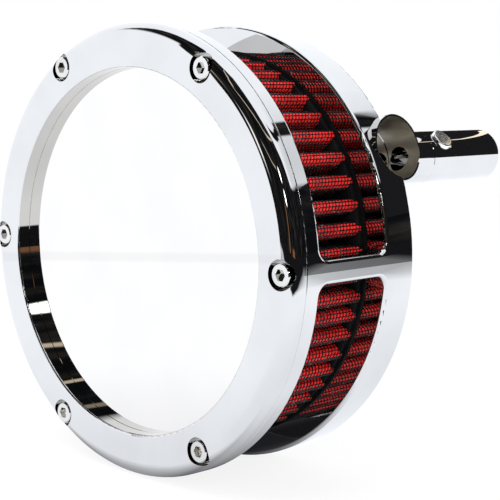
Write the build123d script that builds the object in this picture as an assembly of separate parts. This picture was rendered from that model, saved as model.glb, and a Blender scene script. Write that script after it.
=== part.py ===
from build123d import *
import os
from math import cos, radians, sin, sqrt

# Open-sided round air filter for a motorcycle.  Millimetres, +Z up.
# The filter's axis is Y: the cover faces -Y and the engine is towards +Y.
# The origin is the centre of the rear face that meets the throttle body.

# ---------------------------------------------------------------- housing
OUTER_R = 87.5            # outside radius of cover ring, bridges and rear ring
FACE_Y = -65.5            # front face of the cover ring
JOINT_Y = FACE_Y + 7.0    # cover ring meets the housing
WINDOW_FRONT_Y = FACE_Y + 14.0
WINDOW_REAR_Y = FACE_Y + 50.0
ELEMENT_BORE_R = 78.0     # the element slides in and out through this bore
REAR_BORE_R = 69.0        # register for the element's rear cap
WEB_Y = -7.5              # front face of the rear web
BRIDGE_ANGLES = (0, 120, 240)
BRIDGE_W = 8.6
WINDOW_CORNER_R = 4.5
WINDOW_EDGE_R = 1.4       # rounded edge all round each window
BACK_EDGE_R = 1.0
SEAM_R = 0.35             # small rounds that show the joint of cover ring and housing
ANY_REACH = 4 * OUTER_R   # long enough to pass right through the filter

# ---------------------------------------------------------------- cover
EDGE_R = 5.7              # big outer round of the cover ring
RECESS_R = 70.5
RECESS_Y = FACE_Y + 5.7
LIP_R = 0.8
RECESS_BREAK = 0.2        # broken edge where the recess meets the plate
PLATE_R = 77.0
PLATE_T = 2.8
REBATE_R = 77.2
SCREW_CIRCLE_R = 81.0
SCREW_ANGLES = (0, 60, 120, 180, 240, 300)
SCREW_R = 2.4
SCREW_HEAD_R = 4.25
SCREW_HEAD_Y = FACE_Y + 0.3
SCREW_SEAT_Y = FACE_Y + 4.9
SCREW_TIP_Y = FACE_Y + 12.3
COUNTERBORE_R = 5.5
HEX_FLATS = 4.0
HEX_DEPTH = 2.6
SCREW_BREAK = 0.4         # chamfer on screw heads and tips
SHANK_GAP = 0.3           # clearance round the screws in the cover ring
PLATE_SCREW_CIRCLE_R = 74.0
PLATE_SCREW_ANGLES = (30, 90, 150, 210, 270, 330)
PLATE_SCREW_R = 1.5
PLATE_SCREW_HEAD_R = 2.9
PLATE_SCREW_LENGTH = 6.0
PLATE_SCREW_DEPTH = 3.6   # of the tapped holes in the cover ring
PLATE_HEX_FLATS = 2.0
PLATE_HEX_DEPTH = 1.2

# ---------------------------------------------------------------- element
PLEATS = 56
PLEAT_START = 2.5         # angle of the first fold
PLEAT_OUT_R = 76.2
PLEAT_IN_R = 60.0
PLEAT_FLAT = 0.18         # part of each half pitch that is flat at a fold
MEDIA_SHIFT = 3.7         # radial step that gives 0.8 mm thick media
GAUZE_SHIFT = 1.1         # radial step that gives 0.24 mm thick gauze
CAP_IN_R = 54.6
FRONT_SEAL_IN_R = 61.0
FRONT_SEAL_OUT_R = 70.0
FRONT_SEAL_Y = RECESS_Y + PLATE_T
FRONT_CAP_Y = FACE_Y + 10.0
PLEAT_FRONT_Y = FACE_Y + 13.6
PLEAT_REAR_Y = FACE_Y + 49.2
FRONT_CAP_R = 77.4
REAR_FLANGE_R = 77.7
REAR_REGISTER_R = 68.6
REAR_REGISTER_Y = FACE_Y + 52.5

# ---------------------------------------------------------------- throat
THROAT_R = 24.0
STACK_LIP_R = 7.0
STACK_WALL = 2.0
STACK_STRAIGHT = 6.0
STACK_FLANGE_R = 44.5
STACK_FLANGE_T = 3.0
THROTTLE_CIRCLE_R = 38.0
THROTTLE_ANGLES = (90, 210, 330)
THROTTLE_HOLE_R = 3.4
STACK_SCREW_ANGLES = (30, 150, 270)
STACK_SCREW_R = 2.0
STACK_SCREW_DEPTH = 5.0
STACK_HEAD_R = 3.5
STACK_HEAD_T = 2.2
STACK_HEAD_ROUND = 1.2
STACK_HEX_FLATS = 2.5
STACK_HEX_DEPTH = 1.4
THROAT_SEAL_R = 30.0
THROAT_SEAL_SECTION_R = 1.25
THROAT_SEAL_Y = -1.35     # centre of the cord
THROAT_GROOVE_D = 2.6
THROAT_GROOVE_HALF_W = 1.6
PAD_R = 47.0              # raised pad that meets the throttle body
PAD_GROOVE_W = 2.5
PAD_GROOVE_D = 1.5

# ---------------------------------------------------------------- standoffs
STANDOFF_R = 78.0         # distance of each tube from the filter's axis
STANDOFF_ANGLE = 28.0
TUBE_R = 10.25
TUBE_END_Y = 65.0
TUBE_END_ROUND = 0.8
SLEEVE_BREAK = 0.3
SLEEVE_Y = 22.0           # joint line between base and sleeve
SPIGOT_R = 7.5
SPIGOT_END_Y = 36.0
SLEEVE_BORE_R = 7.55
SLEEVE_BORE_END_Y = 37.0
PASSAGE_R = 4.6
CUP_ANGLE = 15.0          # direction that the cup opens in, up from +X
CUP_R = 11.8
CUP_WALL = 0.9
CUP_RIM = 85.7            # distance of the rim along that direction
CUP_FLOOR = 70.7
CUP_SIDE = 20.3           # sideways offset of the cup from the filter's axis
CUP_Y = 1.5
FOOT_LOW = 51.5
FOOT_T = 8.0
FOOT_D = 15.0
FOOT_EDGE = 6.0           # metal beyond the screw centres at each end
FOOT_ROUND = 4.0
FOOT_SCREW_OUT = 57.5
FOOT_SCREW_SIDES = (13.0, 27.5)
FOOT_SCREW_R = 2.5
FOOT_SCREW_HEAD_T = 4.6
FOOT_SCREW_TIP_Y = FOOT_T - 2.0
LOCK_ANGLE = 45.0
LOCK_Y = 30.0
LOCK_SEAT = 9.6
LOCK_TIP = 7.85
LOCK_HEAD_R = 4.3
LOCK_HEAD_T = 1.7
LOCK_HEAD_ROUND = 0.5
LOCK_HEX_FLATS = 3.0
LOCK_HEX_DEPTH = 1.6
LOCK_SEAT_R = 5.0         # flat that the head sits on
LOCK_R = 2.5
SPIGOT_SEAL_Y = 33.5
SPIGOT_GROOVE = 1.35
SPIGOT_GROOVE_W = 1.5
SPIGOT_SEAL_R = 6.83
SPIGOT_SEAL_SECTION_R = 0.65
SLEEVE_SEAL_Y = 60.0
SLEEVE_SEAL_R = 5.6
SLEEVE_SEAL_SECTION_R = 0.9
SLEEVE_GROOVE_R = 6.5
SLEEVE_GROOVE_HALF_W = 1.1


# ---------------------------------------------------------------- helpers
def lathe(points):
    """Ring turned about the filter's axis from (radius, y) corners."""
    outline = make_face(Polyline(*points, close=True))
    return revolve(outline, Axis.Y, 360)


def ring(inner, outer, y0, y1):
    return lathe([(inner, y0), (outer, y0), (outer, y1), (inner, y1)])


def rod(radius, y0, y1, x=0.0, z=0.0):
    """Cylinder along Y from y0 to y1."""
    plane = Plane(origin=(x, y0, z), x_dir=(1, 0, 0), z_dir=(0, 1, 0))
    return extrude(plane * Circle(radius), y1 - y0)


def at_angle(angle, radius):
    """Point on a circle round the filter's axis, counted from +X towards +Z."""
    return radius * cos(radians(angle)), radius * sin(radians(angle))


def turned(shape, angle):
    """Turn a shape about the filter's axis, from +X towards +Z."""
    return shape.rotate(Axis.Y, -angle)


def torus_y(major, minor, y, x=0.0, z=0.0):
    plane = Plane(origin=(x, y, z), x_dir=(1, 0, 0), z_dir=(0, 1, 0))
    return plane * Torus(major, minor)


def rims(shape, radius, y):
    """Circular edges of one radius at one place along the axis."""
    return [
        edge
        for edge in shape.edges().filter_by(GeomType.CIRCLE)
        if abs(edge.radius - radius) < 0.01 and abs((edge @ 0).Y - y) < 0.01
    ]


def hex_prism(flats, y0, y1, x, z):
    plane = Plane(origin=(x, y0, z), x_dir=(1, 0, 0), z_dir=(0, 1, 0))
    return extrude(plane * RegularPolygon(flats / sqrt(3), 6), y1 - y0)


def cap_screw(x, z, head_y, seat_y, tip_y, shank_r):
    """Socket cap screw along +Y with its head at the front."""
    head = rod(SCREW_HEAD_R, head_y, seat_y, x, z)
    head = chamfer(head.edges().group_by(Axis.Y)[0], SCREW_BREAK)
    shank = rod(shank_r, seat_y, tip_y, x, z)
    shank = chamfer(shank.edges().group_by(Axis.Y)[-1], SCREW_BREAK)
    return head + shank - hex_prism(HEX_FLATS, head_y, head_y + HEX_DEPTH, x, z)


def write(name, shape):
    export_step(shape, f"parts/{name}.step")


# ---------------------------------------------------------------- housing
def window(start, stop):
    """Cutter for the opening between two bridges."""
    half = BRIDGE_W / 2
    block = ring(ELEMENT_BORE_R - 1, OUTER_R + 12, WINDOW_FRONT_Y, WINDOW_REAR_Y)
    reach = 2 * OUTER_R
    for angle, side in ((start, -1), (stop, 1)):
        bar = Box(reach, reach, reach).translate((0, 0, side * (reach / 2 - half)))
        block -= turned(bar, angle)
    keep = turned(Box(reach, reach, reach).translate((reach / 2, 0, 0)), (start + stop) / 2)
    block = block & keep
    corners = [
        edge
        for edge in block.edges().filter_by(GeomType.LINE)
        if abs((edge @ 0).Y - (edge @ 1).Y) < 0.01
    ]
    return fillet(corners, WINDOW_CORNER_R)


def standoff_axis():
    return at_angle(STANDOFF_ANGLE, STANDOFF_R)


def cup_plane(out):
    """Plane across the cup at a distance along the direction it opens in."""
    c = cos(radians(CUP_ANGLE))
    s = sin(radians(CUP_ANGLE))
    origin = (out * c - CUP_SIDE * s, CUP_Y, out * s + CUP_SIDE * c)
    return Plane(origin=origin, x_dir=(0, 1, 0), z_dir=(c, 0, s))


def cup_cylinder(radius, low, high):
    return extrude(cup_plane(low) * Circle(radius), high - low)


def foot_screw_places():
    """Screw centres in the foot, as (x, z)."""
    c = cos(radians(CUP_ANGLE))
    s = sin(radians(CUP_ANGLE))
    return [
        (FOOT_SCREW_OUT * c - side * s, FOOT_SCREW_OUT * s + side * c)
        for side in FOOT_SCREW_SIDES
    ]


def half_space(y0, y1):
    return Box(ANY_REACH, y1 - y0, ANY_REACH).translate((0, (y0 + y1) / 2, 0))


def make_housing():
    tube = ring(ELEMENT_BORE_R, OUTER_R, JOINT_Y, WINDOW_REAR_Y + 1)
    rear = ring(REAR_BORE_R, OUTER_R, WINDOW_REAR_Y, 0)
    web = ring(THROAT_R, REAR_BORE_R + 1, WEB_Y, 0)
    body = tube + rear + web
    for start in BRIDGE_ANGLES:
        body -= window(start, start + 120)
    body = fillet(rims(body, OUTER_R, WINDOW_REAR_Y), WINDOW_EDGE_R)
    body = fillet(rims(body, OUTER_R, 0), BACK_EDGE_R)
    body = fillet(rims(body, OUTER_R, JOINT_Y), SEAM_R)

    lobe = cup_cylinder(CUP_R + CUP_WALL, REAR_BORE_R + 5, CUP_RIM) & half_space(-2 * CUP_R, 0)
    bowl = cup_cylinder(CUP_R, CUP_FLOOR, CUP_RIM + CUP_R)
    for shape in (lobe, lobe.mirror(Plane.YZ)):
        body += shape
    for shape in (bowl, bowl.mirror(Plane.YZ)):
        body -= shape

    for angle in SCREW_ANGLES:
        x, z = at_angle(angle, SCREW_CIRCLE_R)
        body -= rod(SCREW_R + 0.1, JOINT_Y, SCREW_TIP_Y + 0.7, x, z)
    for angle in THROTTLE_ANGLES:
        x, z = at_angle(angle, THROTTLE_CIRCLE_R)
        body -= rod(THROTTLE_HOLE_R, WEB_Y, 0, x, z)
    for angle in STACK_SCREW_ANGLES:
        x, z = at_angle(angle, THROTTLE_CIRCLE_R)
        body -= rod(STACK_SCREW_R, WEB_Y, WEB_Y + STACK_SCREW_DEPTH + 0.5, x, z)
    for x, z in foot_screw_places():
        for side in (-1, 1):
            body -= rod(FOOT_SCREW_R + SHANK_GAP, WEB_Y, 0, side * x, z)
    body -= ring(PAD_R, PAD_R + PAD_GROOVE_W, -PAD_GROOVE_D, 0)
    groove_in = THROAT_SEAL_R - THROAT_GROOVE_HALF_W
    groove_out = THROAT_SEAL_R + THROAT_GROOVE_HALF_W
    return body - ring(groove_in, groove_out, -THROAT_GROOVE_D, 0)


# ---------------------------------------------------------------- cover
def make_bezel():
    body = lathe(
        [
            (RECESS_R, FACE_Y),
            (OUTER_R, FACE_Y),
            (OUTER_R, JOINT_Y),
            (REBATE_R, JOINT_Y),
            (REBATE_R, RECESS_Y),
            (RECESS_R, RECESS_Y),
        ]
    )
    body = fillet(rims(body, OUTER_R, FACE_Y), EDGE_R)
    body = fillet(rims(body, OUTER_R, JOINT_Y), SEAM_R)
    body = fillet(rims(body, RECESS_R, FACE_Y), LIP_R)
    body = chamfer(rims(body, RECESS_R, RECESS_Y), RECESS_BREAK)
    for angle in SCREW_ANGLES:
        x, z = at_angle(angle, SCREW_CIRCLE_R)
        body -= rod(COUNTERBORE_R, FACE_Y, SCREW_SEAT_Y, x, z)
        body -= rod(SCREW_R + SHANK_GAP, SCREW_SEAT_Y, JOINT_Y, x, z)
    for angle in PLATE_SCREW_ANGLES:
        x, z = at_angle(angle, PLATE_SCREW_CIRCLE_R)
        body -= rod(PLATE_SCREW_R, RECESS_Y - PLATE_SCREW_DEPTH, RECESS_Y, x, z)
    return body


def plate_screw(x, z):
    """Countersunk screw put in from behind the plate."""
    back = RECESS_Y + PLATE_T
    plane = Plane(origin=(x, back, z), x_dir=(1, 0, 0), z_dir=(0, -1, 0))
    sink = PLATE_SCREW_HEAD_R - PLATE_SCREW_R
    head = plane * Pos(0, 0, sink / 2) * Cone(PLATE_SCREW_HEAD_R, PLATE_SCREW_R, sink)
    shank = rod(PLATE_SCREW_R, back - PLATE_SCREW_LENGTH, back - sink, x, z)
    return head, shank


def make_plate():
    body = rod(PLATE_R, RECESS_Y, RECESS_Y + PLATE_T)
    for angle in PLATE_SCREW_ANGLES:
        head, shank = plate_screw(*at_angle(angle, PLATE_SCREW_CIRCLE_R))
        body = body - head - shank
    return body


def make_plate_screws():
    screws = []
    for angle in PLATE_SCREW_ANGLES:
        x, z = at_angle(angle, PLATE_SCREW_CIRCLE_R)
        head, shank = plate_screw(x, z)
        back = RECESS_Y + PLATE_T
        socket = hex_prism(PLATE_HEX_FLATS, back - PLATE_HEX_DEPTH, back, x, z)
        screws.append(head + shank - socket)
    return Compound(children=screws)


def make_cover_screws():
    screws = []
    for angle in SCREW_ANGLES:
        x, z = at_angle(angle, SCREW_CIRCLE_R)
        screws.append(cap_screw(x, z, SCREW_HEAD_Y, SCREW_SEAT_Y, SCREW_TIP_Y, SCREW_R))
    return Compound(children=screws)


# ---------------------------------------------------------------- element
def fold_outline(outer, inner, y):
    """Closed zigzag with a small flat at every fold."""
    step = 360 / PLEATS
    flat = step / 2 * PLEAT_FLAT
    points = []
    for index in range(PLEATS):
        middle = PLEAT_START + index * step
        for angle, radius in (
            (middle - flat, outer),
            (middle + flat, outer),
            (middle + step / 2 - flat, inner),
            (middle + step / 2 + flat, inner),
        ):
            x, z = at_angle(angle, radius)
            points.append((x, y, z))
    return make_face(Polyline(*points, close=True))


def folded_sheet(outer, inner, shift):
    """Folded sheet that fills the step between two zigzags."""
    outside = fold_outline(outer, inner, PLEAT_FRONT_Y)
    inside = fold_outline(outer - shift, inner - shift, PLEAT_FRONT_Y)
    return extrude(outside - inside, PLEAT_REAR_Y - PLEAT_FRONT_Y, dir=(0, 1, 0))


def make_media():
    return folded_sheet(PLEAT_OUT_R, PLEAT_IN_R, MEDIA_SHIFT)


def make_outer_gauze():
    return folded_sheet(PLEAT_OUT_R + GAUZE_SHIFT, PLEAT_IN_R + GAUZE_SHIFT, GAUZE_SHIFT)


def make_inner_gauze():
    return folded_sheet(PLEAT_OUT_R - MEDIA_SHIFT, PLEAT_IN_R - MEDIA_SHIFT, GAUZE_SHIFT)


def make_front_cap():
    return ring(CAP_IN_R, FRONT_CAP_R, FRONT_CAP_Y, PLEAT_FRONT_Y)


def make_front_seal():
    return ring(FRONT_SEAL_IN_R, FRONT_SEAL_OUT_R, FRONT_SEAL_Y, FRONT_CAP_Y)


def make_rear_cap():
    return lathe(
        [
            (CAP_IN_R, PLEAT_REAR_Y),
            (REAR_FLANGE_R, PLEAT_REAR_Y),
            (REAR_FLANGE_R, WINDOW_REAR_Y),
            (REAR_REGISTER_R, WINDOW_REAR_Y),
            (REAR_REGISTER_R, REAR_REGISTER_Y),
            (CAP_IN_R, REAR_REGISTER_Y),
        ]
    )


# ---------------------------------------------------------------- throat
def make_stack():
    """Bell-mouthed inlet on the front of the web."""
    base = WEB_Y
    flange = WEB_Y - STACK_FLANGE_T
    bend = WEB_Y - STACK_STRAIGHT
    tip = bend - STACK_LIP_R
    lip = THROAT_R + STACK_LIP_R
    slant = sin(radians(45))
    inside = ThreePointArc(
        (THROAT_R, bend),
        (lip - STACK_LIP_R * slant, bend - STACK_LIP_R * slant),
        (lip, tip),
    )
    outer_r = STACK_LIP_R - STACK_WALL
    outside = ThreePointArc(
        (lip, bend - outer_r),
        (lip - outer_r * slant, bend - outer_r * slant),
        (lip - outer_r, bend),
    )
    rest = Polyline(
        (lip - outer_r, bend),
        (lip - outer_r, flange),
        (STACK_FLANGE_R, flange),
        (STACK_FLANGE_R, base),
        (THROAT_R, base),
        (THROAT_R, bend),
    )
    tip_line = Line((lip, tip), (lip, bend - outer_r))
    body = revolve(make_face([inside, tip_line, outside, rest]), Axis.Y, 360)
    for angle in THROTTLE_ANGLES:
        x, z = at_angle(angle, THROTTLE_CIRCLE_R)
        body -= rod(THROTTLE_HOLE_R, flange, base, x, z)
    for angle in STACK_SCREW_ANGLES:
        x, z = at_angle(angle, THROTTLE_CIRCLE_R)
        body -= rod(STACK_SCREW_R, flange, base, x, z)
    return body


def make_stack_screws():
    screws = []
    seat = WEB_Y - STACK_FLANGE_T
    for angle in STACK_SCREW_ANGLES:
        x, z = at_angle(angle, THROTTLE_CIRCLE_R)
        top = seat - STACK_HEAD_T
        head = rod(STACK_HEAD_R, top, seat, x, z)
        head = fillet(head.edges().group_by(Axis.Y)[0], STACK_HEAD_ROUND)
        shank = rod(STACK_SCREW_R, seat, WEB_Y + STACK_SCREW_DEPTH, x, z)
        screws.append(head + shank - hex_prism(STACK_HEX_FLATS, top, top + STACK_HEX_DEPTH, x, z))
    return Compound(children=screws)


def make_throat_seal():
    return torus_y(THROAT_SEAL_R, THROAT_SEAL_SECTION_R, THROAT_SEAL_Y)


# ---------------------------------------------------------------- standoffs
def make_base():
    x, z = standoff_axis()
    cup = cup_cylinder(CUP_R + CUP_WALL, FOOT_LOW + FOOT_D - 1, CUP_RIM) & half_space(0, 2 * CUP_R)
    tube = rod(TUBE_R, 0, SLEEVE_Y, x, z)
    spigot = rod(SPIGOT_R, SLEEVE_Y, SPIGOT_END_Y, x, z)
    sides = FOOT_SCREW_SIDES
    width = sides[1] - sides[0] + 2 * FOOT_EDGE
    place = cup_plane(FOOT_LOW)
    foot = Box(FOOT_T, width, FOOT_D, align=(Align.MIN, Align.CENTER, Align.MIN))
    foot = fillet(foot.edges().filter_by(Axis.X).group_by(Axis.Z)[0], FOOT_ROUND)
    middle = (sides[0] + sides[1]) / 2 - CUP_SIDE
    foot = place * Pos(-CUP_Y, -middle, 0) * foot
    body = cup + tube + spigot + foot
    body -= cup_cylinder(CUP_R, CUP_FLOOR, CUP_RIM + CUP_R)
    body -= rod(PASSAGE_R, CUP_Y, SPIGOT_END_Y, x, z)
    body -= spigot_groove(x, z)
    for hole_x, hole_z in foot_screw_places():
        body -= rod(FOOT_SCREW_R, 0, FOOT_T - 1, hole_x, hole_z)
    return body


def spigot_groove(x, z):
    """Square groove round the spigot, as a ring to cut away."""
    y0 = SPIGOT_SEAL_Y - SPIGOT_GROOVE_W / 2
    y1 = SPIGOT_SEAL_Y + SPIGOT_GROOVE_W / 2
    return rod(SPIGOT_R + 1, y0, y1, x, z) - rod(SPIGOT_R - SPIGOT_GROOVE, y0, y1, x, z)


def make_sleeve():
    x, z = standoff_axis()
    body = rod(TUBE_R, SLEEVE_Y, TUBE_END_Y, x, z)
    body = fillet(body.edges().group_by(Axis.Y)[-1], TUBE_END_ROUND)
    body = chamfer(body.edges().group_by(Axis.Y)[0], SLEEVE_BREAK)
    body -= rod(SLEEVE_BORE_R, SLEEVE_Y, SLEEVE_BORE_END_Y, x, z)
    body -= rod(PASSAGE_R, SLEEVE_BORE_END_Y, TUBE_END_Y, x, z)
    groove_y0 = SLEEVE_SEAL_Y - SLEEVE_GROOVE_HALF_W
    groove_y1 = SLEEVE_SEAL_Y + SLEEVE_GROOVE_HALF_W
    body -= rod(SLEEVE_GROOVE_R, groove_y0, groove_y1, x, z)
    seat = lock_plane(LOCK_SEAT)
    body -= extrude(seat * Circle(LOCK_SEAT_R), LOCK_SEAT_R)
    body -= extrude(seat * Circle(LOCK_R + 0.1), -5)
    return body


def lock_plane(out):
    """Plane across the lock screw at a distance from the tube's axis."""
    x, z = standoff_axis()
    c = cos(radians(LOCK_ANGLE))
    s = sin(radians(LOCK_ANGLE))
    return Plane(origin=(x + out * c, LOCK_Y, z + out * s), x_dir=(0, 1, 0), z_dir=(c, 0, s))


def make_lock_screw():
    head = Cylinder(LOCK_HEAD_R, LOCK_HEAD_T, align=(Align.CENTER, Align.CENTER, Align.MIN))
    head = fillet(head.edges().group_by(Axis.Z)[-1], LOCK_HEAD_ROUND)
    shank = Cylinder(LOCK_R, LOCK_SEAT - LOCK_TIP, align=(Align.CENTER, Align.CENTER, Align.MAX))
    socket_floor = Plane.XY.offset(LOCK_HEAD_T - LOCK_HEX_DEPTH)
    socket = extrude(socket_floor * RegularPolygon(LOCK_HEX_FLATS / sqrt(3), 6), LOCK_HEX_DEPTH)
    return lock_plane(LOCK_SEAT) * (head + shank - socket)


def make_base_screws():
    screws = []
    for x, z in foot_screw_places():
        for side in (-1, 1):
            head_y = WEB_Y - FOOT_SCREW_HEAD_T
            screws.append(cap_screw(side * x, z, head_y, WEB_Y, FOOT_SCREW_TIP_Y, FOOT_SCREW_R))
    return Compound(children=screws)


def main():
    os.makedirs("parts", exist_ok=True)
    write("filter_housing", make_housing())
    write("bezel_ring", make_bezel())
    write("cover_plate", make_plate())
    write("cover_screws", make_cover_screws())
    write("plate_screws", make_plate_screws())
    write("front_seal", make_front_seal())
    write("front_end_cap", make_front_cap())
    write("pleated_media", make_media())
    write("outer_gauze", make_outer_gauze())
    write("inner_gauze", make_inner_gauze())
    write("rear_end_cap", make_rear_cap())
    write("velocity_stack", make_stack())
    write("stack_screws", make_stack_screws())
    write("throat_seal", make_throat_seal())
    write("standoff_base_screws", make_base_screws())
    x, z = standoff_axis()
    pieces = {
        "standoff_base": make_base(),
        "standoff_sleeve": make_sleeve(),
        "lock_screw": make_lock_screw(),
        "spigot_seal": torus_y(SPIGOT_SEAL_R, SPIGOT_SEAL_SECTION_R, SPIGOT_SEAL_Y, x, z),
        "sleeve_seal": torus_y(SLEEVE_SEAL_R, SLEEVE_SEAL_SECTION_R, SLEEVE_SEAL_Y, x, z),
    }
    for name, shape in pieces.items():
        write(f"right_{name}", shape)
        write(f"left_{name}", shape.mirror(Plane.YZ))


main()
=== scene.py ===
import math
import random

import bpy
from mathutils import Matrix, Vector


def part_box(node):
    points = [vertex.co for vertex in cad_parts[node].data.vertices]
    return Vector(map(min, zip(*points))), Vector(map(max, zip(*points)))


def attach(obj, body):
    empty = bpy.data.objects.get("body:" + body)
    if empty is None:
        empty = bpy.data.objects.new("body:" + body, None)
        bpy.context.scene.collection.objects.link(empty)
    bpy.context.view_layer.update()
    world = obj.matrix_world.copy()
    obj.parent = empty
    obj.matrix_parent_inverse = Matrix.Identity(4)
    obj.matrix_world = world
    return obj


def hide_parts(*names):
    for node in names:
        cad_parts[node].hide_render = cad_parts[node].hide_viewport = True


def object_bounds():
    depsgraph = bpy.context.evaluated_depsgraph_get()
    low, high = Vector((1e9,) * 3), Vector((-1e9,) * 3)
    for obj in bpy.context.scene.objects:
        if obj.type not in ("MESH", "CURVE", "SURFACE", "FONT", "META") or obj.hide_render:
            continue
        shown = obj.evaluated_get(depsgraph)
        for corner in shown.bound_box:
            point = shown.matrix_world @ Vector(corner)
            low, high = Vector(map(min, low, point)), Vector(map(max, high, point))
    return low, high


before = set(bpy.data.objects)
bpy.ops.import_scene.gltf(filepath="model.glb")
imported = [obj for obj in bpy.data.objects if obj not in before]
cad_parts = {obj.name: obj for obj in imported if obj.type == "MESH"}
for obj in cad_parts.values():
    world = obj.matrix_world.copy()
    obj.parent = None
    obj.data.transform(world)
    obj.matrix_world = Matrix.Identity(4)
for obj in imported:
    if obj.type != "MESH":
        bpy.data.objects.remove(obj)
cad_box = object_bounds()
MM = 0.001

# ------------------------------------------------------------ places read from the CAD parts
GAUZE_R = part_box("outer_gauze")[1].x
PLEAT_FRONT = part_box("pleated_media")[0].y
PLEAT_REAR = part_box("pleated_media")[1].y
SLEEVE_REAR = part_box("right_standoff_sleeve")[1].y
FLOOR_Z = cad_box[0].z

# bolt cups: bores that open sideways at the foot of each standoff
CUP_TILT = math.radians(15)  # up from level
CUP_SIDE = 20.3 * MM        # offset of the bore's axis from the filter's axis
CUP_Y = 1.5 * MM
CUP_R = 11.8 * MM
CUP_FLOOR = 70.7 * MM       # distance of the bore's floor from the filter's axis
CUP_WALL_IN = 0.3 * MM      # the satin band reaches this far inside the wall
CUP_WALL_OUT = 0.06 * MM    # and this far into the metal
CUP_WALL_FADE = 0.03 * MM
CUP_FLOOR_FADE = 0.5 * MM

# ------------------------------------------------------------ pleated element
PLEATS = 56
PLEAT_START = math.radians(2.5)
UPPER_CREEP = math.radians(4.8)     # most that the folds above level have crept round
UPPER_SPAN = math.radians(125)      # from level to where the creep ends
LOWER_CREEP = math.radians(1.9)     # the same below level
LOWER_SPAN = math.radians(120)
UNEVEN_TURN = 0.3           # degrees, either way
UNEVEN_HEIGHT = 0.5         # millimetres, down only
UNEVEN_CREST = 0.12         # millimetres, either way
UNEVEN_SEED = 1000
CREST_R = 2.5 * MM
VALLEY_R = 0.75 * MM
PLEAT_DEPTH = 16.5 * MM
MEDIA_T = 0.8 * MM
MEDIA_SHARP = math.radians(60)
WIRE_R = 0.21 * MM
WIRE_LIFT = 0.20 * MM       # wire centre above the cotton
WIRE_PITCH = 1.5 * MM       # between the wires that run along a pleat
CROSS_PITCH = 1.75 * MM     # between the wires across, measured along the axis
INNER_PITCH = 3 * MM
LONG_SIDES = 4              # faces round a wire that runs along a pleat
CROSS_SIDES = 3
GAUZE_PARTS = 3             # pieces that the cross wires are shared among
DIAGONAL = 0.42             # run along the axis of a cross wire, per unit round the pleats
CREST_STEPS = 6             # on each half of a crest
VALLEY_STEPS = 4
COTTON_R = GAUZE_R - WIRE_LIFT - WIRE_R
POTTING_T = 1.6 * MM
POTTING_INNER = COTTON_R - PLEAT_DEPTH - 2 * MM
POTTING_OUTER = COTTON_R - 0.6 * MM
POTTING_EDGE = 0.4 * MM
POTTING_SHARP = math.radians(50)
POTTING_STEPS = 240


def pleat_shape(index):
    """Turn in radians, change of height and change of crest radius of one pleat."""
    rng = random.Random(UNEVEN_SEED + index % PLEATS)
    turn = math.radians(rng.uniform(-UNEVEN_TURN, UNEVEN_TURN))
    height = rng.uniform(-UNEVEN_HEIGHT, 0) * MM
    swell = rng.uniform(-UNEVEN_CREST, UNEVEN_CREST) * MM
    return turn, height, swell


def polar(angle, radius):
    return Vector((radius * math.cos(angle), radius * math.sin(angle)))


def arc(centre, radius, start, stop, steps):
    turns = [start + (stop - start) * i / steps for i in range(steps + 1)]
    return [centre + polar(turn, radius) for turn in turns]


def near(angle, target):
    """The same angle, counted within half a turn of the target."""
    return angle + round((target - angle) / math.tau) * math.tau


def inner_tangent(centre, radius, other, other_radius, side):
    """Direction of the normal of the line that passes between two circles."""
    way = other - centre
    lean = math.acos((radius + other_radius) / way.length)
    return math.atan2(way.y, way.x) + side * lean


def drift(angle):
    """How far the soft pleats have crept round the element from an even spacing."""
    angle = (angle + math.pi) % math.tau - math.pi
    if angle > 0:
        reach = min(angle / UPPER_SPAN, 1)
        return UPPER_CREEP * math.sin(math.pi * reach) ** 2
    reach = min(-angle / LOWER_SPAN, 1)
    return LOWER_CREEP * math.sin(math.pi * reach)


def crest(index):
    """Angle, centre and radius of one crest."""
    turn, height, swell = pleat_shape(index)
    even = PLEAT_START + index * math.tau / PLEATS
    angle = even + drift(even) + turn
    radius = CREST_R + swell
    return angle, polar(angle, COTTON_R + height - radius), radius


def fold_line(offset):
    """Outline of the folded sheet in X and Z, moved out of the cotton by offset."""
    line = []
    for index in range(PLEATS):
        angle, centre, radius = crest(index)
        next_angle, next_centre, next_radius = crest(index + 1)
        valley = polar((angle + next_angle) / 2, COTTON_R - PLEAT_DEPTH + VALLEY_R)
        down = near(inner_tangent(centre, radius, valley, VALLEY_R, -1), angle + math.pi / 2)
        up = near(inner_tangent(next_centre, next_radius, valley, VALLEY_R, 1), next_angle - math.pi / 2)
        line += arc(centre, radius + offset, angle, down, CREST_STEPS)
        line += arc(valley, VALLEY_R - offset, down + math.pi, up + math.pi, VALLEY_STEPS)
        line += arc(next_centre, next_radius + offset, up, next_angle, CREST_STEPS)[:-1]
    return line


def lengths_along(line):
    """Distance from the start to each point of a closed line, and the whole length."""
    total = 0.0
    reach = []
    for here, following in zip(line, line[1:] + line[:1]):
        reach.append(total)
        total += (following - here).length
    return reach, total


def new_piece(name, verts, faces, body, material):
    """Smooth mesh piece that rides on a body and has one material."""
    mesh = bpy.data.meshes.new(name)
    mesh.from_pydata(verts, [], faces)
    mesh.validate()
    for face in mesh.polygons:
        face.use_smooth = True
    mesh.materials.append(material)
    piece = bpy.data.objects.new(name, mesh)
    bpy.context.scene.collection.objects.link(piece)
    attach(piece, body)
    return piece


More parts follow.
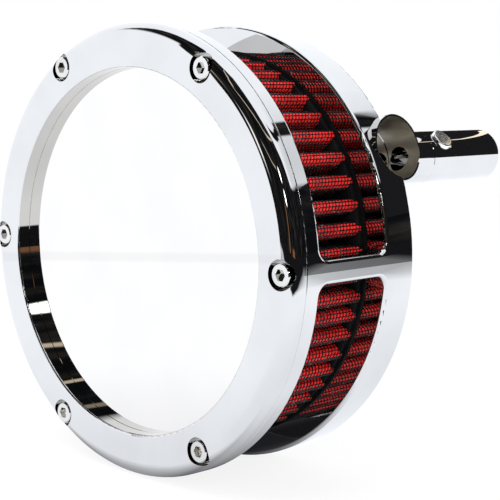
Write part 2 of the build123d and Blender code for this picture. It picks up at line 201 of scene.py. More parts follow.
def make_cotton(material):
    """The pleated sheet, with both faces and its two long edges."""
    outside = fold_line(0)
    inside = fold_line(-MEDIA_T)
    count = len(outside)
    loops = [(outside, PLEAT_FRONT), (outside, PLEAT_REAR), (inside, PLEAT_REAR), (inside, PLEAT_FRONT)]
    verts = [(p.x, y, p.y) for line, y in loops for p in line]
    faces = []
    for band in range(len(loops)):
        here = band * count
        there = (band + 1) % len(loops) * count
        for i in range(count):
            j = (i + 1) % count
            faces.append((here + i, there + i, there + j, here + j))
    piece = new_piece("pleat_cotton", verts, faces, "element", material)
    piece.data.set_sharp_from_angle(angle=MEDIA_SHARP)
    lay_weave(piece.data, outside)
    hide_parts("pleated_media")


def lay_weave(mesh, line):
    """Texture coordinates of the cotton: metres round the folded sheet, and metres along the axis."""
    count = len(line)
    reach, total = lengths_along(line)
    weave = mesh.uv_layers.new(name="weave")
    for face in mesh.polygons:
        last = face.index % count == count - 1
        for loop in face.loop_indices:
            vert = mesh.loops[loop].vertex_index
            along = reach[vert % count]
            if last and vert % count == 0:
                along = total
            weave.data[loop].uv = (along, mesh.vertices[vert].co.y)


def wire(points, sides, verts, faces):
    """Add a thin straight-sided wire through the points, with closed ends."""
    first = len(verts)
    for i, point in enumerate(points):
        ahead = points[min(i + 1, len(points) - 1)] - points[max(i - 1, 0)]
        out = Vector((point.x, 0, point.z)).normalized()
        side = ahead.cross(out).normalized()
        top = side.cross(ahead).normalized()
        for k in range(sides):
            turn = math.tau * k / sides
            verts.append(point + WIRE_R * (math.cos(turn) * top + math.sin(turn) * side))
    for i in range(len(points) - 1):
        for k in range(sides):
            low = first + i * sides
            nxt = (k + 1) % sides
            faces.append((low + k, low + nxt, low + sides + nxt, low + sides + k))
    last = first + (len(points) - 1) * sides
    faces.append(tuple(first + k for k in reversed(range(sides))))
    faces.append(tuple(last + k for k in range(sides)))


def point_at(line, reach, total, along):
    """Point of a closed line at a distance along it."""
    along = along % total
    low, high = 0, len(reach)
    while high - low > 1:
        middle = (low + high) // 2
        if reach[middle] <= along:
            low = middle
        else:
            high = middle
    here = line[low]
    following = line[(low + 1) % len(line)]
    step = (following - here).length
    return here.lerp(following, (along - reach[low]) / step if step else 0)


def long_wires(line, pitch):
    """Verts and faces of the straight wires that run along the pleats."""
    reach, total = lengths_along(line)
    verts, faces = [], []
    count = round(total / pitch)
    for i in range(count):
        p = point_at(line, reach, total, i * total / count)
        ends = [Vector((p.x, PLEAT_FRONT, p.y)), Vector((p.x, PLEAT_REAR, p.y))]
        wire(ends, LONG_SIDES, verts, faces)
    return verts, faces


def cross_wire(line, reach, total, start):
    """Points of a wire that goes from cap to cap on a slant, down and up the pleats."""
    span = (PLEAT_REAR - PLEAT_FRONT) / DIAGONAL
    two_laps = [place + lap * total for lap in (0, 1) for place in reach]
    inside = [along for along in two_laps if start < along < start + span]
    points = []
    for along in [start, *inside, start + span]:
        p = point_at(line, reach, total, along)
        points.append(Vector((p.x, PLEAT_FRONT + (along - start) * DIAGONAL, p.y)))
    return points


def make_gauze(name, offset, pitch, cross_pitch, material, node):
    """Wire cloth over one face of the pleats: straight wires along them and slanted ones across."""
    line = fold_line(offset)
    verts, faces = long_wires(line, pitch)
    lines = new_piece(f"{name}_lines", verts, faces, "element", material)
    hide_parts(node)

    reach, total = lengths_along(line)
    count = round(total * DIAGONAL / cross_pitch)
    share = count // GAUZE_PARTS + 1
    for part in range(GAUZE_PARTS):
        verts, faces = [], []
        for i in range(part * share, min((part + 1) * share, count)):
            wire(cross_wire(line, reach, total, i * total / count), CROSS_SIDES, verts, faces)
        new_piece(f"{name}_cross_{part}", verts, faces, "element", material)


def make_potting(name, low, high, material):
    """Urethane that the pleat ends are set in, a ring that stops just under the crests."""
    inner, outer, edge = POTTING_INNER, POTTING_OUTER, POTTING_EDGE
    left = [(inner, high), (inner, low + edge), (inner + edge, low)]
    right = [(outer - edge, low), (outer, low + edge), (outer, high)]
    outline = left + right
    verts = []
    for i in range(POTTING_STEPS):
        turn = math.tau * i / POTTING_STEPS
        verts += [(r * math.cos(turn), y, r * math.sin(turn)) for r, y in outline]
    n = len(outline)
    faces = []
    for i in range(POTTING_STEPS):
        j = (i + 1) % POTTING_STEPS
        for k in range(n):
            m = (k + 1) % n
            faces.append((i * n + k, i * n + m, j * n + m, j * n + k))
    piece = new_piece(name, verts, faces, "element", material)
    piece.data.set_sharp_from_angle(angle=POTTING_SHARP)


# ------------------------------------------------------------ shader helpers
def add_node(tree, kind, inputs=None, **settings):
    """Add a node, set its properties, and set or link its inputs."""
    made = tree.nodes.new(kind)
    for key, value in settings.items():
        setattr(made, key, value)
    for key, value in (inputs or {}).items():
        set_or_link(tree, made.inputs[key], value)
    return made


def set_or_link(tree, socket, value):
    """Give an input a value, or link another node's output to it."""
    if isinstance(value, bpy.types.NodeSocket):
        tree.links.new(value, socket)
    else:
        socket.default_value = value


def maths(tree, operation, first, second=0.0):
    return add_node(tree, "ShaderNodeMath", {0: first, 1: second}, operation=operation).outputs[0]


def subtract(tree, first, second):
    return maths(tree, "SUBTRACT", first, second)


def add_up(tree, *values):
    result = values[0]
    for value in values[1:]:
        result = maths(tree, "ADD", result, value)
    return result


def product(tree, *values):
    result = values[0]
    for value in values[1:]:
        result = maths(tree, "MULTIPLY", result, value)
    return result


def strongest(tree, *values):
    best = values[0]
    for value in values[1:]:
        best = maths(tree, "MAXIMUM", best, value)
    return best


def length_of(tree, across, up):
    """Length of a sloping line from its two legs."""
    square = add_up(tree, product(tree, across, across), product(tree, up, up))
    return maths(tree, "SQRT", square)


def ramp_between(tree, value, low, high, out_low=0.0, out_high=1.0, kind="SMOOTHSTEP"):
    """Soft ramp, held at its ends."""
    inputs = {"Value": value, "From Min": low, "From Max": high, "To Min": out_low, "To Max": out_high}
    return add_node(tree, "ShaderNodeMapRange", inputs, interpolation_type=kind).outputs["Result"]


def between(tree, value, low, high, out_low=0.0, out_high=1.0):
    """Straight ramp, held at its ends."""
    return ramp_between(tree, value, low, high, out_low, out_high, kind="LINEAR")


def window(tree, value, low, high, soft):
    """1 between low and high, falling to 0 over soft on each side."""
    rise = ramp_between(tree, value, low - soft, low + soft)
    fall = ramp_between(tree, value, high - soft, high + soft, 1.0, 0.0)
    return product(tree, rise, fall)


def noise(tree, vector, scale, detail=3.0, roughness=0.5):
    inputs = {"Vector": vector, "Scale": scale, "Detail": detail, "Roughness": roughness}
    return add_node(tree, "ShaderNodeTexNoise", inputs).outputs["Fac"]


def blend_colours(tree, factor, first, second):
    made = add_node(tree, "ShaderNodeMix", data_type="RGBA")
    for key, kind, value in (("Factor", "VALUE", factor), ("A", "RGBA", first), ("B", "RGBA", second)):
        socket = [s for s in made.inputs if s.name == key and s.type == kind][0]
        set_or_link(tree, socket, value)
    return [s for s in made.outputs if s.type == "RGBA"][0]


def bump(tree, height, distance, strength=1.0, normal=None):
    inputs = {"Height": height, "Distance": distance, "Strength": strength}
    if normal is not None:
        inputs["Normal"] = normal
    return add_node(tree, "ShaderNodeBump", inputs).outputs["Normal"]


def new_material(name):
    """Material with a lone Principled shader; returns it, its tree, its shader and object coordinates."""
    material = bpy.data.materials.new(name)
    material.use_nodes = True
    tree = material.node_tree
    shader = tree.nodes["Principled BSDF"]
    place = tree.nodes.new("ShaderNodeTexCoord").outputs["Object"]
    return material, tree, shader, place


def feed(tree, shader, **sockets):
    names = {"colour": "Base Color", "rough": "Roughness", "normal": "Normal", "metal": "Metallic"}
    for key, value in sockets.items():
        set_or_link(tree, shader.inputs[names[key]], value)


# ------------------------------------------------------------ materials
CHROME_BRIGHT = (0.63, 0.625, 0.61, 1)
CHROME_DULL = (0.60, 0.595, 0.585, 1)
# colour of the satin cup walls: its warm brown is a painted reflection of the surroundings
CUP_SATIN_PAINTED_REFLECTION = (0.62, 0.575, 0.50, 1)
PLATE_BRIGHT = (0.74, 0.715, 0.68, 1)
PLATE_DULL = (0.725, 0.70, 0.668, 1)
SCREW_BRIGHT = (0.66, 0.65, 0.63, 1)
SCREW_DULL = (0.58, 0.56, 0.53, 1)
LOCK_BRIGHT = (0.84, 0.84, 0.83, 1)
LOCK_DULL = (0.78, 0.77, 0.75, 1)
RED_COTTON = (0.86, 0.014, 0.010, 1)
RED_OILED = (0.50, 0.004, 0.004, 1)
RED_LINT = (0.95, 0.10, 0.07, 1)
RED_SHEEN = (1.0, 0.25, 0.2, 1)
WIRE_COAT = (0.012, 0.012, 0.014, 1)
WIRE_BARE = (0.42, 0.42, 0.44, 1)
URETHANE_BLACK = (0.003, 0.003, 0.0035, 1)
URETHANE_DUSTY = (0.008, 0.008, 0.008, 1)
RUBBER_BLACK = (0.016, 0.016, 0.017, 1)
RUBBER_DUSTY = (0.05, 0.05, 0.05, 1)
ALUMINIUM_BRIGHT = (0.80, 0.81, 0.82, 1)
ALUMINIUM_DULL = (0.66, 0.67, 0.69, 1)
ZINC_BRIGHT = (0.62, 0.63, 0.60, 1)
ZINC_DULL = (0.46, 0.47, 0.48, 1)
WEAVE_SCALE = 420.0         # threads of the cotton
LATHE_FEED = 0.35 * MM      # between the rings of turned metal


def inside_cup(tree, place):
    """1 on the walls of the bolt cups, where polishing cannot reach, and 0 elsewhere; there the chrome turns
    satin and takes a painted warm reflection.
    """
    x, y, z = add_node(tree, "ShaderNodeSeparateXYZ", {0: place}).outputs
    x = maths(tree, "ABSOLUTE", x)
    out = add_up(tree, product(tree, x, math.cos(CUP_TILT)), product(tree, z, math.sin(CUP_TILT)))
    side = subtract(tree, product(tree, z, math.cos(CUP_TILT)), product(tree, x, math.sin(CUP_TILT)))
    away = length_of(tree, subtract(tree, side, CUP_SIDE), subtract(tree, y, CUP_Y))
    on_wall = window(tree, away, CUP_R - CUP_WALL_IN, CUP_R + CUP_WALL_OUT, CUP_WALL_FADE)
    above_floor = ramp_between(tree, out, CUP_FLOOR, CUP_FLOOR + CUP_FLOOR_FADE)
    return product(tree, on_wall, above_floor)


def chrome(name, bright, dull, rough, cups=False):
    """Mirror chrome plating: faint polishing haze, fine wipe marks and a trace of plating ripple."""
    material, tree, shader, place = new_material(name)
    haze = noise(tree, place, scale=45, detail=4)
    wiped = add_node(tree, "ShaderNodeMapping", {"Vector": place, "Scale": (1, 14, 1)}).outputs[0]
    marks = noise(tree, wiped, scale=420, detail=5, roughness=0.7)
    soiled = product(tree, haze, marks)
    roughness = ramp_between(tree, soiled, 0.15, 0.5, rough, rough * 3.2)
    colour = blend_colours(tree, ramp_between(tree, haze, 0.35, 0.7), bright, dull)
    if cups:
        cup = inside_cup(tree, place)
        grain = noise(tree, place, scale=260, detail=4, roughness=0.6)
        satin = ramp_between(tree, grain, 0.3, 0.7, 0.30, 0.42)
        roughness = add_up(tree, product(tree, cup, satin), roughness)
        # painted reflection: the cup walls take a warm brown tint; their satin roughness is the real finish
        colour = blend_colours(tree, cup, colour, CUP_SATIN_PAINTED_REFLECTION)
    ripple = noise(tree, place, scale=70, detail=1)
    normal = bump(tree, ripple, distance=0.02 * MM, strength=0.04)
    normal = bump(tree, marks, distance=0.004 * MM, strength=0.03, normal=normal)
    feed(tree, shader, colour=colour, rough=roughness, normal=normal, metal=1.0)
    return material


def thread_wave(tree, weave, direction):
    """Bands of thread across one direction of the weave."""
    inputs = {"Vector": weave, "Scale": WEAVE_SCALE, "Distortion": 0.6}
    return add_node(tree, "ShaderNodeTexWave", inputs, bands_direction=direction).outputs["Fac"]


def cotton():
    """Oiled red cotton: fine plain weave, oil that pools darker, and lint."""
    material, tree, shader, place = new_material("oiled_red_cotton")
    weave = add_node(tree, "ShaderNodeUVMap", uv_map="weave").outputs[0]
    threads = strongest(tree, thread_wave(tree, weave, "X"), thread_wave(tree, weave, "Y"))
    pooled = noise(tree, place, scale=120, detail=4, roughness=0.6)
    lint = noise(tree, place, scale=900, detail=3, roughness=0.6)
    oily = ramp_between(tree, pooled, 0.38, 0.66)
    colour = blend_colours(tree, oily, RED_COTTON, RED_OILED)
    colour = blend_colours(tree, ramp_between(tree, lint, 0.60, 0.80), colour, RED_LINT)
    height = add_up(tree, threads, product(tree, lint, 0.8))
    normal = bump(tree, height, distance=0.08 * MM, strength=0.7)
    rough = ramp_between(tree, pooled, 0.3, 0.7, 0.62, 0.40)
    feed(tree, shader, colour=colour, rough=rough, normal=normal)
    shader.inputs["Sheen Weight"].default_value = 0.25
    shader.inputs["Sheen Tint"].default_value = RED_SHEEN
    return material


def coated_wire():
    """Dark epoxy-coated wire, worn to bare metal here and there."""
    material, tree, shader, place = new_material("coated_wire")
    wear = noise(tree, place, scale=650, detail=4, roughness=0.6)
    worn = ramp_between(tree, wear, 0.60, 0.72)
    colour = blend_colours(tree, worn, WIRE_COAT, WIRE_BARE)
    rough = ramp_between(tree, worn, 0, 1, 0.34, 0.22)
    metal = ramp_between(tree, worn, 0, 1, 0.35, 1.0)
    drips = noise(tree, place, scale=2500, detail=2)
    normal = bump(tree, drips, distance=0.02 * MM, strength=0.6)
    feed(tree, shader, colour=colour, rough=rough, normal=normal, metal=metal)
    return material


def urethane(name, dark, light, rough):
    """Moulded black urethane or rubber: satin skin, fine grain, traces of dust."""
    material, tree, shader, place = new_material(name)
    grain = noise(tree, place, scale=1800, detail=3)
    cloud = noise(tree, place, scale=90, detail=4)
    colour = blend_colours(tree, ramp_between(tree, cloud, 0.45, 0.8), dark, light)
    roughness = ramp_between(tree, cloud, 0.3, 0.7, rough, rough + 0.2)
    normal = bump(tree, grain, distance=0.05 * MM, strength=0.5)
    feed(tree, shader, colour=colour, rough=roughness, normal=normal)
    shader.inputs["Specular IOR Level"].default_value = 0.08
    return material


def turned_metal():
    """Turned aluminium: fine lathe rings about the filter's axis."""
    material, tree, shader, place = new_material("turned_aluminium")
    x, y, z = add_node(tree, "ShaderNodeSeparateXYZ", {0: place}).outputs
    feed_line = add_up(tree, length_of(tree, x, z), y)
    rings = maths(tree, "SINE", product(tree, feed_line, math.tau / LATHE_FEED))
    cloud = noise(tree, place, scale=60, detail=4)
    colour = blend_colours(tree, cloud, ALUMINIUM_BRIGHT, ALUMINIUM_DULL)
    normal = bump(tree, rings, distance=0.01 * MM, strength=0.5)
    rough = ramp_between(tree, cloud, 0.3, 0.7, 0.22, 0.34)
    feed(tree, shader, colour=colour, rough=rough, normal=normal, metal=1.0)
    return material


def plated_steel():
    """Zinc-plated screw steel, a little uneven."""
    material, tree, shader, place = new_material("zinc_plated_steel")
    cloud = noise(tree, place, scale=500, detail=4)
    colour = blend_colours(tree, cloud, ZINC_BRIGHT, ZINC_DULL)
    normal = bump(tree, cloud, distance=0.02 * MM, strength=0.5)
    rough = ramp_between(tree, cloud, 0.3, 0.7, 0.25, 0.42)
    feed(tree, shader, colour=colour, rough=rough, normal=normal, metal=1.0)
    return material


def dress(material, *names):
    """Give CAD nodes a material."""
    for name in names:
        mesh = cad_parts[name].data
        mesh.materials.clear()
        mesh.materials.append(material)


# ------------------------------------------------------------ studio
# Directions are in degrees: turn is counted from straight ahead of the cover towards +X, and rise from
# the horizon.  A patch is (turn from, turn to, soft edge), (rise from, rise to, soft edge), strength.
# A long light is (turn from, turn to, rise at turn 0, slope, half width), strength.
TENT_WHITE = (1.35, 1.40, 1.49, 1)
TENT_SHADED = (0.96, 1.0, 1.06, 1)
TENT_SHADE = ((115, 172, 14), (16, 42, 14), 1.0)
WHITE = (1.0, 1.0, 1.0, 1)
OPENING = (-74, 154, 3)     # turns between which the tent is open, and the soft edge
OPENING_TOP = ((25, 95, 77, 41.5), (95, 103, 0, -12.5), (103, 142, 0, -6.5))   # ramps over turn, added up
CARD_EDGE = (-41.5, -40)    # right-hand edge of a white card in the opening
CARD_TOP = (30, 38)
ROOF_BAR = (92, 168, 81.8, -0.27, 2.4)          # dark, as a long light's first five numbers
LONG_LIGHTS = (((-6, 72, 45, 0.07, 0.8), 0.9), ((-2, 30, 22.5, 0.18, 0.5), 0.7))
WARM_PATCHES = (((-7, -4, 0.8), (46, 74, 3), 0.8), ((-34, -31, 0.8), (14, 70, 4), 0.35))
RUST_PATCHES = (((31, 34, 0.8), (-3, 16, 2), 0.5), ((48, 64, 2), (-5, 2, 1), 0.35))
WHITE_PATCH = ((-32, -25, 1.5), (3, 10, 1.5), 1.6)
ROOM_LAMPS = ((45, 20.5), (46, 30))
LAMP_R = 2.8
LAMP_STRENGTH = 9.0
ROOM_DARK = (0.006, 0.007, 0.009, 1)
ROOM_CLUTTER = (0.050, 0.045, 0.040, 1)
RUST = (0.80, 0.36, 0.16, 1)
BEIGE = (1.15, 0.98, 0.78, 1)


def heading(tree, x, y):
    """Turn of a direction or place, in degrees."""
    return product(tree, maths(tree, "ARCTAN2", x, product(tree, y, -1.0)), 180 / math.pi)


def long_light(tree, turn, rise, start, stop, height, slope, half_width):
    """Long thin light that climbs by slope."""
    off = subtract(tree, rise, product(tree, turn, slope))
    across = window(tree, off, height - half_width, height + half_width, 0.5)
    return product(tree, across, window(tree, turn, start, stop, 3))


def patch(tree, turn, rise, turns, rises, strength):
    return product(tree, window(tree, turn, *turns), window(tree, rise, *rises), strength)


def room_lamp(tree, turn, rise, at_turn, at_rise):
    """Small round lamp."""
    away = length_of(tree, subtract(tree, turn, at_turn), subtract(tree, rise, at_rise))
    disc = ramp_between(tree, away, LAMP_R * 0.6, LAMP_R * 1.4, 1.0, 0.0)
    return product(tree, disc, LAMP_STRENGTH)


def room_opening(tree, turn, rise):
    """1 where the dark room shows past the tent."""
    top = add_up(tree, *[between(tree, turn, *ramp) for ramp in OPENING_TOP])
    under_top = ramp_between(tree, subtract(tree, rise, top), -1.2, 1.2, 1.0, 0.0)
    left_of_edge = ramp_between(tree, turn, *CARD_EDGE, 1.0, 0.0)
    card = product(tree, left_of_edge, ramp_between(tree, rise, *CARD_TOP, 1.0, 0.0))
    opening = product(tree, window(tree, turn, *OPENING), under_top, subtract(tree, 1.0, card))
    return strongest(tree, opening, long_light(tree, turn, rise, *ROOF_BAR))


def room_colours(tree, way, turn, rise):
    """Dim room with warm lights, rusty things and two bright lamps."""
    lights = [product(tree, long_light(tree, turn, rise, *shape), power) for shape, power in LONG_LIGHTS]
    beige = strongest(tree, *lights, *[patch(tree, turn, rise, *place) for place in WARM_PATCHES])
    lamps = [room_lamp(tree, turn, rise, *place) for place in ROOM_LAMPS]
    white_spots = strongest(tree, *lamps, patch(tree, turn, rise, *WHITE_PATCH))
    rust = strongest(tree, *[patch(tree, turn, rise, *place) for place in RUST_PATCHES])
    clutter = ramp_between(tree, noise(tree, way, scale=7, detail=5, roughness=0.6), 0.45, 0.75)
    room = blend_colours(tree, clutter, ROOM_DARK, ROOM_CLUTTER)
    room = blend_colours(tree, rust, room, RUST)
    room = blend_colours(tree, beige, room, BEIGE)
    return add_light(tree, room, white_spots)


def add_light(tree, colour, amount):
    """Add a neutral amount to a colour."""
    grey = add_node(tree, "ShaderNodeCombineXYZ", {0: amount, 1: amount, 2: amount}).outputs[0]
    return add_node(tree, "ShaderNodeVectorMath", {0: colour, 1: grey}, operation="ADD").outputs[0]


def make_world():
    """A white light tent that is open to a dim room at the front right.

    The room shows in reflections only.
    """
    world = bpy.data.worlds.new("studio")
    bpy.context.scene.world = world
    world.use_nodes = True
    tree = world.node_tree
    tree.nodes.clear()
    way = tree.nodes.new("ShaderNodeTexCoord").outputs["Generated"]
    x, y, z = add_node(tree, "ShaderNodeSeparateXYZ", {0: way}).outputs
    turn = heading(tree, x, y)
    rise = product(tree, maths(tree, "ARCSINE", z), 180 / math.pi)
    tent = blend_colours(tree, patch(tree, turn, rise, *TENT_SHADE), TENT_WHITE, TENT_SHADED)
    room = room_colours(tree, way, turn, rise)
    reflected = blend_colours(tree, room_opening(tree, turn, rise), tent, room)
    glossy = tree.nodes.new("ShaderNodeLightPath").outputs["Is Glossy Ray"]
    seen = blend_colours(tree, glossy, WHITE, reflected)
    background = add_node(tree, "ShaderNodeBackground", {"Color": seen, "Strength": 1.0})
    out = tree.nodes.new("ShaderNodeOutputWorld")
    tree.links.new(background.outputs[0], out.inputs[0])


def staged_plane(name, corners, material, reflections_only=False):
    mesh = bpy.data.meshes.new(name)
    mesh.from_pydata(corners, [], [tuple(range(len(corners)))])
    mesh.materials.append(material)
    plane = bpy.data.objects.new(name, mesh)
    bpy.context.scene.collection.objects.link(plane)
    if reflections_only:
        plane.visible_camera = False
        plane.visible_diffuse = False
        plane.visible_shadow = False


# The floor as reflections see it.  Its light fades with the slope down from the cover's edge to the paper,
# and each pair of ramps over turn adds up to the slope where the light begins or is full.
AXIS_HEIGHT = 87.5 * MM     # of the filter above the floor
COVER_REACH = 80 * MM
FADE_STARTS = ((5, 50, 0.09, 0.268), (60, 120, 0, -0.188))
FADE_ENDS = ((5, 50, 0.11, 0.290), (60, 120, 0, -0.015))
LEFT_EDGE = (-0.766, 0.643)             # across the straight edge of the lit paper at the left
LEFT_EDGE_OFF = 114 * MM
LEFT_EDGE_TURNS = (50, 60)
BACK_TURNS = (152, 158)                 # lit again beyond these
WALL_WAY = (-0.705, -0.709)             # towards the line where the paper meets the wall
WALL_LINE = (665 * MM, 725 * MM, 12 * MM)
WALL_LINE_STRENGTH = 0.10
WALL_LINE_GREY = (0.5, 0.5, 0.52, 1)
CLOSE_RANGE = (50 * MM, 280 * MM)       # over which the paper brightens out of its painted shade
# painted shade: the greyer white of the paper close to the filter
CLOSE_SHADE_WHITE = (1.16, 1.20, 1.28, 1)
UNDER_X = (5 * MM, 95 * MM)             # the painted shadow under the filter fades out between these
UNDER_Y = (-66 * MM, 0.0, 15 * MM)
# painted shadow: the dark colour of the paper under the filter
UNDER_SHADOW = (0.02, 0.02, 0.025, 1)
UNLIT = (0.012, 0.012, 0.014, 1)
PAPER_LIGHT = (0.97, 0.97, 0.975, 1)
PAPER_DARK = (0.94, 0.94, 0.95, 1)
PAPER_FADE = (0.5, 1.4, 0.86, 1.0)      # distance from, to, and the share of plain white at each
FLOOR_HALF = 6.0


def along_way(tree, x, y, way):
    return add_up(tree, product(tree, x, way[0]), product(tree, y, way[1]))


def floor_lit(tree, x, y, away):
    """How much of the tent's light the paper shows in reflections."""
    turn = heading(tree, x, y)
    reach = maths(tree, "MAXIMUM", subtract(tree, away, COVER_REACH), 10 * MM)
    drop = maths(tree, "DIVIDE", AXIS_HEIGHT, reach)
    start = add_up(tree, *[between(tree, turn, *ramp) for ramp in FADE_STARTS])
    end = add_up(tree, *[between(tree, turn, *ramp) for ramp in FADE_ENDS])
    share = maths(tree, "DIVIDE", subtract(tree, drop, start), subtract(tree, end, start))
    share = add_node(tree, "ShaderNodeClamp", {0: share}).outputs[0]
    across = add_up(tree, along_way(tree, x, y, LEFT_EDGE), LEFT_EDGE_OFF)
    left = ramp_between(tree, across, -10 * MM, 10 * MM)
    left_front = product(tree, left, ramp_between(tree, turn, *LEFT_EDGE_TURNS, 1.0, 0.0))
    return strongest(tree, share, left_front, ramp_between(tree, turn, *BACK_TURNS))


def floor_white(tree, x, y, away):
    """Colour of the lit paper: painted shade makes it greyer close by, a painted shadow makes it dark under
    the filter, and a faint line lies at the wall.
    """
    # painted shade: the paper is greyer close to the filter
    white = blend_colours(tree, ramp_between(tree, away, *CLOSE_RANGE), CLOSE_SHADE_WHITE, TENT_WHITE)
    beside = ramp_between(tree, maths(tree, "ABSOLUTE", x), *UNDER_X)
    beyond = subtract(tree, 1.0, window(tree, y, *UNDER_Y))
    # painted shadow: a dark strip on the paper under the filter
    white = blend_colours(tree, strongest(tree, beside, beyond), UNDER_SHADOW, white)
    wall = along_way(tree, x, y, WALL_WAY)
    crease = product(tree, window(tree, wall, *WALL_LINE), WALL_LINE_STRENGTH)
    return blend_colours(tree, crease, white, WALL_LINE_GREY)


def make_floor():
    """White paper.  Reflections see it lit near the filter and fading into the room at the right."""
    material = bpy.data.materials.new("white_paper")
    material.use_nodes = True
    tree = material.node_tree
    tree.nodes.clear()
    place = tree.nodes.new("ShaderNodeTexCoord").outputs["Object"]
    x, y, _ = add_node(tree, "ShaderNodeSeparateXYZ", {0: place}).outputs
    away = length_of(tree, x, y)
    glow_colour = blend_colours(tree, floor_lit(tree, x, y, away), UNLIT, floor_white(tree, x, y, away))
    light = add_node(tree, "ShaderNodeEmission", {"Color": glow_colour, "Strength": 1.0}).outputs[0]
    fibres = noise(tree, place, scale=30, detail=4)
    paper_colour = blend_colours(tree, fibres, PAPER_LIGHT, PAPER_DARK)
    paper = add_node(tree, "ShaderNodeBsdfDiffuse", {"Color": paper_colour}).outputs[0]
    white = add_node(tree, "ShaderNodeEmission", {"Color": WHITE, "Strength": 1.0}).outputs[0]
    far = ramp_between(tree, away, *PAPER_FADE)
    paper = add_node(tree, "ShaderNodeMixShader", {0: far, 1: paper, 2: white}).outputs[0]
    glossy = tree.nodes.new("ShaderNodeLightPath").outputs["Is Glossy Ray"]
    both = add_node(tree, "ShaderNodeMixShader", {0: glossy, 1: paper, 2: light}).outputs[0]
    out = tree.nodes.new("ShaderNodeOutputMaterial")
    tree.links.new(both, out.inputs[0])
    sides = [(-1, -1), (1, -1), (1, 1), (-1, 1)]
    staged_plane("floor", [(x * FLOOR_HALF, y * FLOOR_HALF, FLOOR_Z) for x, y in sides], material)


# Boards behind the right standoff that only reflections see: outlines in X and Z, in millimetres.
BOARD_GAP = 35 * MM         # behind the sleeve
STRIP_GAP = 1 * MM          # in front of the board
DARK_BOARD = [(-20, 39), (205, 39), (205, 110), (128, 133), (104, 133), (92, 108), (-20, 108)]
WHITE_CARD = [(92, -30), (150, -30), (150, 39), (92, 39)]
WARM_STRIP = [(50, 58), (61, 66.5), (80.5, 84), (94, 108), (92, 109), (78.5, 86), (60, 71.5), (49, 63)]
BOARD_BLACK = (0.016, 0.016, 0.018, 1)
STRIP_WARM = (1.6, 1.40, 1.12, 1)


def glow(name, colour):
    material = bpy.data.materials.new(name)
    material.use_nodes = True
    tree = material.node_tree
    tree.nodes.clear()
    light = add_node(tree, "ShaderNodeEmission", {"Color": colour, "Strength": 1.0})
    out = tree.nodes.new("ShaderNodeOutputMaterial")
    tree.links.new(light.outputs[0], out.inputs[0])
    return material


def flag(name, outline, y, material):
    corners = [(x * MM, y, z * MM) for x, z in outline]
    staged_plane(name, corners, material, reflections_only=True)


def make_flags():
    """Dark board behind the right standoff, a white card below it, and a slanted warm light in front."""
    back = SLEEVE_REAR + BOARD_GAP
    flag("flag_board", DARK_BOARD, back, glow("flag_black", BOARD_BLACK))
    flag("flag_card", WHITE_CARD, back, glow("flag_white", TENT_WHITE))
    flag("flag_light", WARM_STRIP, back - STRIP_GAP, glow("flag_warm", STRIP_WARM))


# name, place in metres, size in metres and power in watts
SOFT_BOXES = (
    ("overhead", Vector((-0.1, -0.5, 1.3)), 1.2, 14.0),
    ("front_right", Vector((1.0, -0.9, 0.5)), 0.8, 9.0),
)


def make_lights():
    """One broad soft box overhead and a weaker one at the front right, both aimed at the origin."""
    for name, place, size, power in SOFT_BOXES:
        light = bpy.data.lights.new(name, "AREA")
        light.size = size
        light.energy = power
        lamp = bpy.data.objects.new(name, light)
        lamp.location = place
        lamp.rotation_euler = (-place).to_track_quat("-Z", "Y").to_euler()
        lamp.visible_glossy = False
        bpy.context.scene.collection.objects.link(lamp)


CAMERA_TARGET = Vector((66.7, -65.5, 7.4)) * MM
CAMERA_DISTANCE = 472.4 * MM
CAMERA_LENS = 97.8
CAMERA_YAW = math.radians(44.86)
CAMERA_PITCH = math.radians(7.11)
CAMERA_ROLL = math.radians(0.64)


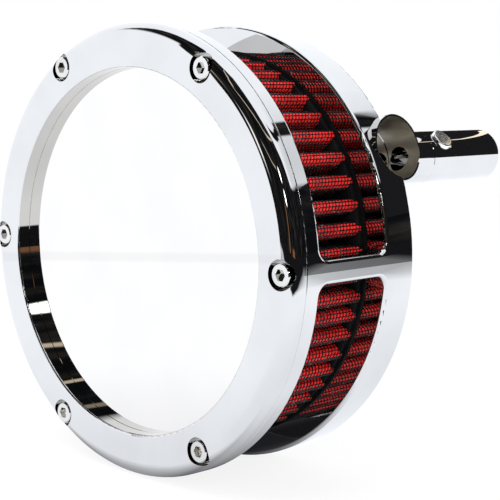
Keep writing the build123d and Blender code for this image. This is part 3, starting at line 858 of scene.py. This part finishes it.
def make_camera():
    """Camera to the front right and a little above, turned slightly on its axis."""
    level = math.cos(CAMERA_PITCH)
    back = Vector((math.sin(CAMERA_YAW) * level, -math.cos(CAMERA_YAW) * level, math.sin(CAMERA_PITCH)))
    right = Vector((0, 0, 1)).cross(back).normalized()
    up = back.cross(right)
    turned_right = math.cos(CAMERA_ROLL) * right + math.sin(CAMERA_ROLL) * up
    turned_up = math.cos(CAMERA_ROLL) * up - math.sin(CAMERA_ROLL) * right
    data = bpy.data.cameras.new("camera")
    data.lens = CAMERA_LENS
    camera = bpy.data.objects.new("camera", data)
    facing = Matrix((turned_right, turned_up, back)).transposed().to_4x4()
    camera.matrix_world = Matrix.Translation(CAMERA_TARGET + back * CAMERA_DISTANCE) @ facing
    bpy.context.scene.collection.objects.link(camera)
    bpy.context.scene.camera = camera


# ------------------------------------------------------------ build
make_camera()
make_world()
make_floor()
make_flags()
make_lights()
bpy.context.scene.view_settings.view_transform = "Standard"

cotton_cloth = cotton()
wire_coat = coated_wire()
black_urethane = urethane("black_urethane", URETHANE_BLACK, URETHANE_DUSTY, 0.5)
make_cotton(cotton_cloth)
make_gauze("outer_wire", WIRE_LIFT, WIRE_PITCH, CROSS_PITCH, wire_coat, "outer_gauze")
make_gauze("inner_wire", -MEDIA_T - WIRE_LIFT, INNER_PITCH, INNER_PITCH, wire_coat, "inner_gauze")
make_potting("rear_potting", PLEAT_REAR - POTTING_T, PLEAT_REAR, black_urethane)

plating = chrome("chrome_plating", CHROME_BRIGHT, CHROME_DULL, 0.012, cups=True)
dress(plating, "filter_housing", "bezel_ring", "right_standoff_base", "left_standoff_base")
dress(plating, "right_standoff_sleeve", "left_standoff_sleeve")
dress(chrome("chrome_mirror_plate", PLATE_BRIGHT, PLATE_DULL, 0.01), "cover_plate")
dress(chrome("chrome_screws", SCREW_BRIGHT, SCREW_DULL, 0.05), "cover_screws")
dress(chrome("satin_screws", LOCK_BRIGHT, LOCK_DULL, 0.13), "right_lock_screw", "left_lock_screw")
dress(plated_steel(), "plate_screws", "stack_screws", "standoff_base_screws")
dress(turned_metal(), "velocity_stack")
dress(black_urethane, "front_end_cap", "rear_end_cap", "front_seal")
rubber = urethane("seal_rubber", RUBBER_BLACK, RUBBER_DUSTY, 0.5)
dress(rubber, "throat_seal", "right_spigot_seal", "left_spigot_seal", "right_sleeve_seal", "left_sleeve_seal")
